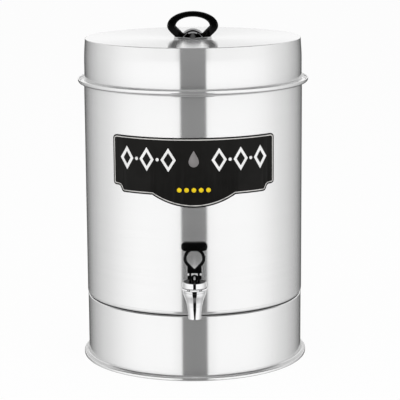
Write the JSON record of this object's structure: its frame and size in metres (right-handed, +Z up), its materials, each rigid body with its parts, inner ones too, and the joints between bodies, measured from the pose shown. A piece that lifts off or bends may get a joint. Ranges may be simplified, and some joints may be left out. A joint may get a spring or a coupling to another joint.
{
  "type": "cold brew coffee maker",
  "caption": "Round steel drinks dispenser: open stand, tank with tap and black label, hanging brew basket with wire handles, and a deep domed-edge lid with a black loop handle.",
  "frame": {"origin": "centre of the foot ring on the surface the coffee maker stands on", "axes": "+Z up through the lid handle; the tap points to -Y and the label faces -Y"},
  "size_m": [0.264, 0.3111, 0.3998],
  "materials": {
    "stainless": "brushed round the body",
    "chrome": "polished",
    "stem_steel": "drawn wire and turned steel",
    "wire_mesh": "fine woven wire",
    "black_plastic": "satin moulded",
    "black_bakelite": "polished moulded",
    "label_black": "printed sheet",
    "silicone": "matte"
  },
  "bodies": {
    "stand": {"stand_shell": "stainless"},
    "tank": {"tank_wall": "stainless", "tank_floor": "stainless", "front_label": "label_black", "tap_body": "chrome", "tap_gasket_outer": "silicone", "tap_gasket_inner": "silicone", "tap_lock_nut": "black_plastic", "tap_bonnet": "chrome", "tap_bonnet_insert": "black_plastic", "tap_spring": "stem_steel"},
    "stem": {"tap_stem": "stem_steel", "tap_seat_cup": "silicone"},
    "lever": {"tap_lever": "black_plastic", "tap_pivot_pin": "stem_steel"},
    "basket": {"basket_rim": "stainless", "basket_cage": "stainless", "basket_mesh": "wire_mesh", "basket_floor": "stainless", "basket_floor_mesh": "wire_mesh", "basket_lugs": "stainless"},
    "handle_right": {"basket_handle_right": "stem_steel"},
    "handle_left": {"basket_handle_left": "stem_steel"},
    "lid": {"lid_shell": "stainless", "lid_handle_dish": "stainless", "lid_handle_loop": "black_bakelite", "lid_handle_cap": "chrome", "lid_handle_washer": "stem_steel", "lid_handle_screw": "stem_steel"}
  },
  "joints": [
    {"name": "tank_lift", "type": "slide", "parent": "stand", "child": "tank", "axis": [0, 0, 1], "range_m": [0, 0.08]},
    {"name": "basket_lift", "type": "slide", "parent": "tank", "child": "basket", "axis": [0, 0, 1], "range_m": [0, 0.24]},
    {"name": "lid_lift", "type": "slide", "parent": "basket", "child": "lid", "axis": [0, 0, 1], "range_m": [0, 0.12]},
    {"name": "handle_right_swing", "type": "hinge", "parent": "basket", "child": "handle_right", "pos_m": [0.1125, 0, 0.309], "axis": [0, 1, 0], "range_deg": [0, 175]},
    {"name": "handle_left_swing", "type": "hinge", "parent": "basket", "child": "handle_left", "pos_m": [-0.1125, 0, 0.309], "axis": [0, -1, 0], "range_deg": [0, 175]},
    {"name": "stem_lift", "type": "slide", "parent": "tank", "child": "stem", "axis": [0, 0, 1], "range_m": [0, 0.0036], "deforming": ["tap_spring"]},
    {"name": "lever_tilt", "type": "hinge", "parent": "stem", "child": "lever", "pos_m": [0, -0.165, 0.1274], "axis": [1, 0, 0], "range_deg": [0, 45], "stiffness_Nm_per_rad": 0.2, "springref_deg": -17.19}
  ],
  "couplings": [
    {"joint": "stem_lift", "follows": "lever_tilt", "m_per_rad": 0.0044563}
  ]
}
